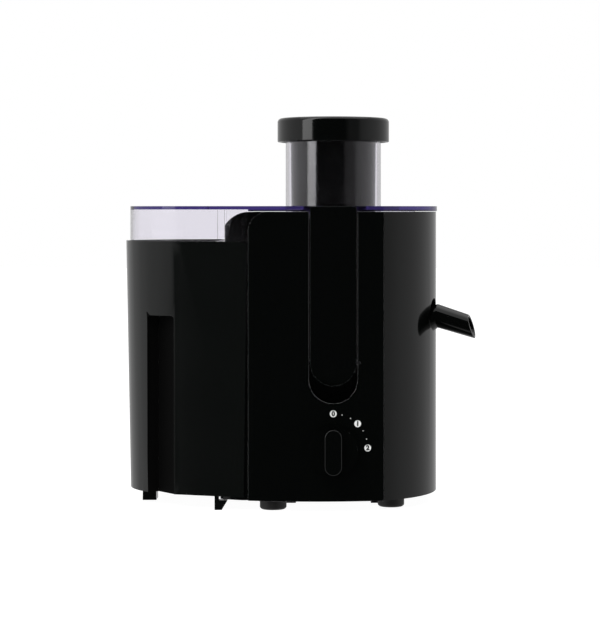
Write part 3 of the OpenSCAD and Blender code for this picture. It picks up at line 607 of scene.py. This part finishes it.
    def smooth(self, angle: float = 32.0) -> "Piece":
        """Shades the piece smooth across every edge under an angle in degrees."""
        self.hold()
        bpy.ops.object.shade_smooth_by_angle(angle=math.radians(angle))
        return self.modify("WEIGHTED_NORMAL", keep_sharp=True, weight=60)

    def finish(self, body: str, slot: str, finish: Finish, *nodes: str) -> "Piece":
        """Dresses the piece, hangs it on the body it rides on and hides the CAD nodes it stands for.

        Args:
            body: the CAD body that it moves with.
            slot: the record's material slot; not used.
            finish: the finish it shows.
            nodes: the CAD nodes that it stands for.

        Returns:
            The piece itself.
        """
        Paint.dress(self.thing, finish)
        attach(self.thing, body)
        if nodes:
            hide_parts(*nodes)
        LOG.info("made %s", self.thing.name)
        return self


class Shaping:
    """Edit mode on one piece, left again at the end of a with block."""

    def __init__(self, piece: Piece) -> None:
        """Remembers the piece."""
        self.piece = piece

    def __enter__(self) -> Piece:
        """Goes into edit mode with nothing selected."""
        self.piece.hold()
        bpy.ops.object.mode_set(mode="EDIT")
        bpy.ops.mesh.select_all(action="DESELECT")
        return self.piece

    def __exit__(self, *error: object) -> None:
        """Goes back to object mode."""
        bpy.ops.object.mode_set(mode="OBJECT")


def refine(node: str, body: str, width: float,
           where: Callable[[Vector], bool] = lambda place: True, edge: Finish | None = None,
           shape: Callable[[Piece], None] = lambda piece: None) -> Piece:
    """Puts a rounded copy in a CAD node's place, in its slot's finish.

    Args:
        node: the CAD node.
        body: the body it rides on.
        width: how far each rounding reaches.
        where: says whether an edge with this middle is rounded.
        edge: the finish of the roundings, if it differs from the rest.
        shape: further modelling, before the rounding.

    Returns:
        The new piece.
    """
    slot = SLOTS[node]
    piece = Piece.copy_of(node)
    with piece.shaping():
        bpy.ops.mesh.select_all(action="SELECT")
        bpy.ops.mesh.remove_doubles(threshold=CLOSE_POINTS)
    shape(piece)
    piece.round_edges(width, where=where, edge=edge).smooth()
    return piece.finish(body, slot, Finishes[slot].value, node)


# The studio ------------------------------------------------------------------------------


@dataclass
class Studio:
    """Camera, light and floor."""

    distance: float = 1.53
    eye_height: float = 0.2126
    lens: float = 119.2
    shift_x: float = -0.053
    shift_y: float = -0.1664
    floor_size: float = 12.0
    around: tuple[tuple[float, float], ...] = (
        (-180, 0.6), (-140, 0.6), (-70, 0.55), (-46, 0.38), (-43.5, 0.30), (-41, 0.03), (-37, 0.012),
        (24, 0.012), (34, 0.12), (52, 0.13), (60, 0.32), (80, 0.44), (115, 0.52), (140, 0.56), (180, 0.6))
    strip: tuple[float, float, float] = (-66.0, -44.0, 2.4)
    ceiling: tuple[float, float] = (0.78, 0.8)

    def build(self) -> None:
        """Makes the camera, the surroundings, the lamp and the floor."""
        axis = middle("motor_shaft")
        bpy.ops.object.camera_add(location=(axis.x, axis.y - self.distance, self.eye_height),
                                  rotation=(math.pi / 2, 0.0, 0.0))
        camera = bpy.context.object
        camera.data.lens = self.lens
        camera.data.shift_x, camera.data.shift_y = self.shift_x, self.shift_y
        bpy.context.scene.camera = camera
        bpy.context.scene.view_settings.view_transform = "Standard"
        self.surround()
        self.light()
        self.lay_floor()

    def surround(self) -> None:
        """Soft grey surroundings by direction, and plain white where the camera looks past the object."""
        world = bpy.data.worlds.new("studio")
        bpy.context.scene.world = world
        world.use_nodes = True
        shader = Shader(world.node_tree)
        way = shader.node("ShaderNodeSeparateXYZ", inputs={
            0: shader.node("ShaderNodeTexCoord", output="Generated")}).socket.node
        east, north, up = (Wire(shader, way.outputs[letter]) for letter in "XYZ")
        turn = east.maths("ARCTAN2", east, north * -1.0) * (180 / math.pi)
        walls = shader.node("ShaderNodeValToRGB", {
            "stops": [((degrees + 180) / 360, grey) for degrees, grey in self.around]},
            {0: (turn + 180.0) / 360.0})
        low, high, gain = self.strip
        strip = (turn > low) * (turn < high) * (up > 0.0) * gain
        top = (up > self.ceiling[0]) * self.ceiling[1]
        rays = shader.node("ShaderNodeLightPath").socket.node
        through = Wire(shader, rays.outputs["Is Transmission Ray"])
        for depth in ("Glossy Depth", "Diffuse Depth"):
            through = through * (Wire(shader, rays.outputs[depth]) < 0.5)
        seen = Wire(shader, rays.outputs["Is Camera Ray"]).largest(through)
        strength = seen + (1.0 - seen) * (walls + strip + top)
        back = shader.node("ShaderNodeBackground", inputs={"Color": (1, 1, 1, 1), "Strength": strength})
        shader.node("ShaderNodeOutputWorld", inputs={"Surface": back})

    def light(self) -> None:
        """A broad soft lamp from above and in front, which no surface mirrors."""
        bpy.ops.object.light_add(type="AREA", location=(-0.4, -1.1, 1.5),
                                 rotation=(math.radians(38), 0.0, math.radians(-18)))
        lamp = bpy.context.object
        lamp.data.shape, lamp.data.size = "SQUARE", 1.2
        lamp.data.energy = 22.0
        lamp.visible_glossy = False

    def lay_floor(self) -> None:
        """A pale floor that lights the object's underside but isn't mirrored in it."""
        bpy.ops.mesh.primitive_plane_add(size=self.floor_size, location=(0.0, 0.0, 0.0))
        floor = bpy.context.object
        floor.name = "studio_floor"
        floor.visible_glossy = False
        material = bpy.data.materials.new("pale_floor")
        material.use_nodes = True
        shader = Shader(material.node_tree)
        surface = shader.node("ShaderNodeBsdfPrincipled", inputs={
            "Base Color": (0.22, 0.22, 0.22, 1), "Roughness": 1.0, "Specular IOR Level": 0.0,
            "Emission Color": (1, 1, 1, 1), "Emission Strength": 0.97})
        shader.node("ShaderNodeOutputMaterial", inputs={"Surface": surface})
        floor.data.materials.append(material)


# Sub-assemblies --------------------------------------------------------------------------


@dataclass
class MotorBase:
    """The housing with its panels, cover and feet."""

    panel_round: float = 0.9 * MM
    housing_round: float = 0.6 * MM
    foot_round: float = 0.7 * MM
    wall_radius: float = 72 * MM
    top_band: float = 1 * MM
    left_band: float = 4 * MM

    def build(self) -> None:
        """Rounds the outer edges of what shows."""
        for node in ("front_panel", "rear_panel"):
            refine(node, "base", self.panel_round, edge=LIT_EDGE)
        low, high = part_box("motor_housing")
        axis = middle("motor_shaft")
        refine("motor_housing", "base", self.housing_round, where=lambda place: (
            math.hypot(place.x - axis.x, place.y - axis.y) > self.wall_radius
            or place.z > high.z - self.top_band or place.x < low.x + self.left_band))
        refine("base_cover", "base", self.foot_round)
        refine("rubber_feet", "base", self.foot_round)


@dataclass
class Latches:
    """The two arms that hold the lid down."""

    rounding: float = 0.9 * MM

    def build(self) -> None:
        """Rounds both arms, with a painted highlight on the roundings."""
        for side in ("front", "rear"):
            refine(side + "_latch_arm", side + "_latch", self.rounding, edge=PAINTED_HIGHLIGHT_EDGE)


@dataclass
class SpeedControl:
    """The knob and the dial around it."""

    dial_radius: float = 24.2 * MM
    dial_rise: float = 1.5 * MM
    disc_radius: float = 2.4 * MM
    disc_depth: float = 0.3 * MM
    dot_radius: float = 0.33 * MM
    digit_size: float = 4.6 * MM
    digit_weight: float = 0.26 * MM
    bow_radius: float = 231.7 * MM
    marks: tuple[tuple[str, float], ...] = (("0", 0.0), ("1", 45.0), ("2", 90.0))
    dots: tuple[float, ...] = (15.0, 30.0, 60.0, 75.0)
    base_depth: float = 4.5 * MM
    flange: float = 1.2 * MM
    grip_width: float = 12 * MM
    grip_height: float = 31.6 * MM
    rim_width: float = 0.8 * MM
    rim_sink: float = 0.4 * MM
    rim_round: float = 0.5 * MM
    grip_root: float = 0.8 * MM
    grip_round: float = 0.8 * MM
    dimple_radius: float = 1.1 * MM
    dimple_rise: float = 11.4 * MM
    dimple_depth: float = 0.3 * MM
    dimple_wall: float = 0.35 * MM
    dimple_sink: float = 0.25 * MM
    digit_depth: float = 0.05 * MM
    mark_round: float = 0.12 * MM

    def build(self) -> None:
        """Makes the knob and the dial's marks."""
        self.make_knob()
        for digit, degrees in self.marks:
            place = self.on_dial(degrees)
            disc = Piece.drum(f"dial_disc_{digit}", place, self.disc_radius, self.disc_depth, Axis.Y, 48)
            disc.round_edges(self.mark_round, 2)
            self.lean(disc)
            disc.smooth().finish("base", "white_nylon", DIAL_WHITE)
            figure = Piece.text(f"dial_digit_{digit}", digit, place - Vector((0, self.disc_depth / 2, 0)),
                                self.digit_size, self.digit_depth, self.digit_weight)
            self.lean(figure)
            figure.finish("base", "black_gloss_plastic", DIAL_DIGIT)
        for number, degrees in enumerate(self.dots):
            dot = Piece.drum(f"dial_dot_{number}", self.on_dial(degrees), self.dot_radius,
                             self.disc_depth, Axis.Y, 24)
            dot.round_edges(self.mark_round, 2)
            self.lean(dot)
            dot.smooth().finish("base", "white_nylon", DIAL_WHITE)

    def make_knob(self) -> None:
        """Models the knob: a flanged disc with a round-ended grip across it and a dimple in the grip, with
        painted highlights on the rim, the grip's front edge and the dimple's floor.
        """
        low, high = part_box("speed_knob")
        centre = middle("speed_knob")
        front = high.y - self.base_depth
        knob = Piece.drum("speed_knob_shown", (centre.x, high.y - self.flange / 2, centre.z),
                          (high.x - low.x) / 2, self.flange, Axis.Y, 128)
        with knob.shaping():
            knob.pick(Part.FACES, lambda face: face.normal.y < -0.9)
            bpy.ops.mesh.inset(thickness=self.flange)
            bpy.ops.mesh.extrude_region_move(TRANSFORM_OT_translate={
                "value": (0, self.flange - self.base_depth, 0)})
            bpy.ops.mesh.inset(thickness=self.rim_width, depth=-self.rim_sink)
        # Painted highlight on the rim's rounded front edge.
        knob.round_edges(self.rim_round, 2, 20.0, lambda place: abs(place.y - front) < NEAR, PAINTED_HIGHLIGHT_EDGE)
        grip = Piece.block("grip", (centre.x, (low.y + front + self.grip_root) / 2, centre.z),
                           (self.grip_width, front - low.y + self.grip_root, self.grip_height))
        grip.round_edges(self.grip_width * 0.48, 12, where=lambda place: abs(
            abs(place.x - centre.x) - self.grip_width / 2) < NEAR and abs(
            abs(place.z - centre.z) - self.grip_height / 2) < NEAR)
        # Painted highlight on the grip's rounded front edge.
        grip.round_edges(self.grip_round, where=lambda place: place.y < low.y + NEAR, edge=PAINTED_HIGHLIGHT_EDGE)
        dimple = Piece.drum("dimple", (centre.x, low.y, centre.z + self.dimple_rise),
                            self.dimple_radius, self.dimple_depth, Axis.Y, 32)
        with dimple.shaping():
            bpy.ops.mesh.select_all(action="SELECT")
            bpy.ops.transform.translate(value=(0, self.dimple_depth / 2, 0))
            dimple.pick(Part.FACES, lambda face: face.normal.y < -0.9)
            bpy.ops.mesh.inset(thickness=self.dimple_wall, depth=-self.dimple_sink)
            # Painted highlight on the dimple's floor.
            dimple.paint(PAINTED_HIGHLIGHT_EDGE)
        knob.join(grip, dimple).smooth().finish("knob", "black_gloss_plastic",
                                                Finishes.black_gloss_plastic.value, "speed_knob")

    def on_dial(self, degrees: float) -> Vector:
        """Where a mark stands before the panel's bow turns it away.

        Args:
            degrees: its angle clockwise from the top.

        Returns:
            A point on the line of the bow's front.
        """
        knob = middle("speed_knob")
        angle = math.radians(degrees)
        return Vector((knob.x + self.dial_radius * math.sin(angle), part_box("front_panel")[0].y,
                       knob.z + self.dial_rise + self.dial_radius * math.cos(angle)))

    def lean(self, piece: Piece) -> None:
        """Turns a piece about the bow's axis, onto the panel.

        Args:
            piece: a piece that stands on the line of the bow's front.
        """
        low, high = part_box("front_panel")
        centre_x = (low.x + high.x) / 2
        here = sum((Vector(corner) for corner in piece.thing.bound_box), Vector()) / 8
        turn = math.asin((here.x - centre_x) / self.bow_radius)
        with piece.shaping():
            bpy.ops.mesh.select_all(action="SELECT")
            bpy.ops.transform.translate(value=(centre_x - here.x, 0.0, 0.0))
            bpy.ops.transform.rotate(value=-turn, orient_axis="Z",
                                     center_override=(centre_x, low.y + self.bow_radius, here.z))


@dataclass
class Spout:
    """The juice outlet: a sloping tube with a slanting end and a flared root."""

    radius: float = 8.25 * MM
    wall: float = 2.0 * MM
    yaw: float = 14.0
    fall: float = 16.5
    lean: float = 15.0
    mitre: float = 78.2 * MM
    tip: float = 103.3 * MM
    axis_height: float = 136.2 * MM
    body_radius: float = 75.5 * MM
    rounding: float = 0.45 * MM
    bore_share: float = 0.9
    flare: tuple[tuple[float, float, float], ...] = (
        (3 * MM, 2 * MM, 1.08), (4 * MM, 3.4 * MM, 1.12), (6 * MM, 3 * MM, 0.8))

    def build(self) -> None:
        """Models the spout along +X, then turns it to its place."""
        axis = middle("motor_shaft")
        slope = math.tan(math.radians(self.fall))
        root_z = self.axis_height - (self.mitre - self.body_radius) * slope
        length = self.tip - self.mitre
        spout = Piece.drum("juice_spout_shown", (axis.x + self.mitre + length / 2, axis.y, root_z),
                           self.radius, length, Axis.X, 96)
        low_x, high_x = axis.x + self.mitre, axis.x + self.tip
        with spout.shaping():
            bpy.ops.mesh.select_all(action="SELECT")
            bpy.ops.transform.resize(value=(1, 1, 1 / math.cos(math.radians(self.fall))),
                                     center_override=(high_x, axis.y, root_z))
            spout.pick(Part.FACES, lambda face: face.normal.x > 0.9)
            bpy.ops.transform.translate(value=(0, 0, -length * slope))
            tip_z = root_z - length * slope
            self.slant(high_x, tip_z, self.lean)
            bpy.ops.mesh.inset(thickness=self.wall)
            bpy.ops.mesh.extrude_region_move(TRANSFORM_OT_translate={
                "value": (-length * self.bore_share, 0, length * self.bore_share * slope)})
            spout.pick(Part.FACES, lambda face: face.normal.x < -0.9
                       and face.calc_center_median().x < low_x + NEAR)
            for step, drop, grow in self.flare:
                bpy.ops.mesh.extrude_region_move(TRANSFORM_OT_translate={"value": (-step, 0, -drop)})
                bpy.ops.transform.resize(value=(1, grow, grow))
        # Painted highlight on the spout's rounded edges.
        spout.round_edges(self.rounding, 2, 25.0, edge=PAINTED_HIGHLIGHT_EDGE,
                          where=lambda place: place.x > low_x - NEAR)
        with spout.shaping():
            bpy.ops.mesh.select_all(action="SELECT")
            bpy.ops.transform.rotate(value=math.radians(self.yaw), orient_axis="Z",
                                     center_override=(axis.x, axis.y, 0))
        spout.smooth().finish("base", "black_gloss_plastic", Finishes.black_gloss_plastic.value,
                              "juice_spout")

    @staticmethod
    def slant(x: float, z: float, degrees: float) -> None:
        """Shears the selected face along X, its low side outwards.

        Args:
            x: the X of the face.
            z: the height that stays where it is.
            degrees: the lean from upright.
        """
        mesh = bmesh.from_edit_mesh(bpy.context.object.data)
        for point in (p for p in mesh.verts if p.select):
            point.co.x = x + (z - point.co.z) * math.tan(math.radians(degrees))
        bmesh.update_edit_mesh(bpy.context.object.data)


@dataclass
class Strainer:
    """The basket with its pierced sheet."""

    hole: float = 0.75 * MM
    pitch: float = 1.35 * MM
    rounding: float = 0.6 * MM
    mean_share: float = 0.9

    def build(self) -> None:
        """Pierces the sheet and rounds the rim."""
        axis = middle("motor_shaft")
        low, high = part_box("basket_sheet")
        sheet = Perforated("pierced_stainless", (0.58, 0.57, 0.55), 0.24, metallic=1.0,
                           axis=(axis.x, axis.y), radius=(high.x - low.x) / 2 * self.mean_share,
                           pitch=self.pitch, hole=self.hole)
        Paint.dress(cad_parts["basket_sheet"], sheet)
        refine("basket_rim", "basket", self.rounding)


@dataclass
class Lid:
    """The clear lid with its feed chute."""

    rounding: float = 0.35 * MM
    lip: float = 3.8 * MM
    band: float = 2.4 * MM
    plate: float = 2.8 * MM
    jog: tuple[float, float] = (-86 * MM, -76 * MM)
    over_arm: float = 0.2 * MM
    chute_room: float = 45 * MM
    slack: float = 0.5 * MM

    def build(self) -> None:
        """Rounds the lid's edges and deepens its colour along them."""
        refine("lid", "lid", self.rounding, shape=self.tint_edges)

    def tint_edges(self, lid: Piece) -> None:
        """Gives the faces at the plate's rim and the skirt's corner their violet.

        Args:
            lid: the lid being modelled.
        """
        axis = middle("motor_shaft")
        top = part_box("front_latch_arm")[1].z + self.over_arm

        def at_edge(face: bmesh.types.BMFace) -> bool:
            """Says whether a face is at the plate's rim, under its lip or at the skirt's corner.

            Args:
                face: the face.

            Returns:
                Whether it is.
            """
            here = face.calc_center_median()
            radius = math.hypot(here.x - axis.x, here.y - axis.y)
            rim = (top - self.lip < here.z < top + self.slack and abs(face.normal.z) < 0.5
                   and radius > self.chute_room)
            under = abs(here.z - (top - self.lip)) < self.slack and face.normal.z < -0.5
            corner = (abs(face.normal.x) > 0.7 and here.z < top - self.plate
                      and self.jog[0] < here.x - axis.x < self.jog[1])
            return rim or under or corner

        with lid.shaping():
            bpy.ops.mesh.select_all(action="SELECT")
            bpy.ops.mesh.bisect(plane_co=(0, 0, top - self.band), plane_no=(0, 0, 1))
            lid.pick(Part.FACES, at_edge)
            lid.paint(VIOLET_EDGE)


@dataclass
class Pusher:
    """The food pusher."""

    rounding: float = 0.8 * MM

    def build(self) -> None:
        """Rounds the cap and the body."""
        for node in ("pusher_cap", "pusher_body"):
            refine(node, "pusher", self.rounding)


@dataclass
class PulpBin:
    """The pulp container, whose finger grips are placed from the motor axis."""

    rounding: float = 1.0 * MM
    corner: float = 4.6 * MM
    grip_corner: float = 2.4 * MM
    grip_top: float = 137 * MM
    grip_near: float = 113.2 * MM
    grip_far: float = 133.4 * MM
    grip_depth: float = 34 * MM
    grip_inside: float = 30 * MM
    upright: float = 0.004

    def build(self) -> None:
        """Rounds the bin's corners and edges with a painted highlight on the roundings, and paints shade on
        its grips.
        """
        # Painted highlight on the bin's rounded edges.
        refine("pulp_bin", "bin", self.rounding, edge=PAINTED_HIGHLIGHT_EDGE, shape=self.shape_corners)

    def shape_corners(self, pulp_bin: Piece) -> None:
        """Rounds the upper corners of the cheeks and of the finger grips, and paints shade on the grips'
        walls.

        Args:
            pulp_bin: the bin being modelled.
        """
        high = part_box("pulp_bin")[1]
        axis = middle("motor_shaft")
        with pulp_bin.shaping():
            if pulp_bin.pick(Part.EDGES, lambda line: self.across(line) and all(
                    point.co.x > high.x - NEAR and point.co.z > high.z - NEAR for point in line.verts)):
                bpy.ops.mesh.bevel(offset=self.corner, segments=8, profile=0.5)
            # Painted shade on the grips' upright walls.
            if pulp_bin.pick(Part.FACES, lambda face: self.in_grip(face, axis)):
                pulp_bin.paint(PAINTED_RECESS_SHADE)
            if pulp_bin.pick(Part.EDGES, lambda line: self.across(line) and all(
                    abs(point.co.z - self.grip_top) < NEAR for point in line.verts)
                    and abs(line.verts[0].co.y - axis.y) > self.grip_inside):
                bpy.ops.mesh.bevel(offset=self.grip_corner, segments=5, profile=0.5)

    @staticmethod
    def across(line: bmesh.types.BMEdge) -> bool:
        """Whether an edge runs from front to rear."""
        run = line.verts[1].co - line.verts[0].co
        return abs(run.y) > 0.8 * run.length

    def in_grip(self, face: bmesh.types.BMFace, axis: Vector) -> bool:
        """Says whether a face is an upright wall of a finger grip.

        Args:
            face: the face.
            axis: the motor axis.

        Returns:
            Whether it is.
        """
        here = face.calc_center_median()
        return (abs(face.normal.z) < self.upright and here.z < self.grip_top
                and self.grip_near < axis.x - here.x < self.grip_far
                and abs(here.y - axis.y) > self.grip_depth)


def dress_nodes() -> None:
    """Gives every CAD node the finish of its slot."""
    for node, slot in SLOTS.items():
        Paint.dress(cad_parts[node], Finishes[slot].value)


def main() -> None:
    """Builds the studio and each sub-assembly in turn."""
    logging.basicConfig(level=logging.INFO, format="%(name)s: %(message)s")
    dress_nodes()
    for group in (Studio(), MotorBase(), Latches(), SpeedControl(), Spout(), Strainer(), Lid(),
                  Pusher(), PulpBin()):
        group.build()
        LOG.info("built %s", type(group).__name__)


if __name__ == "__main__":
    main()
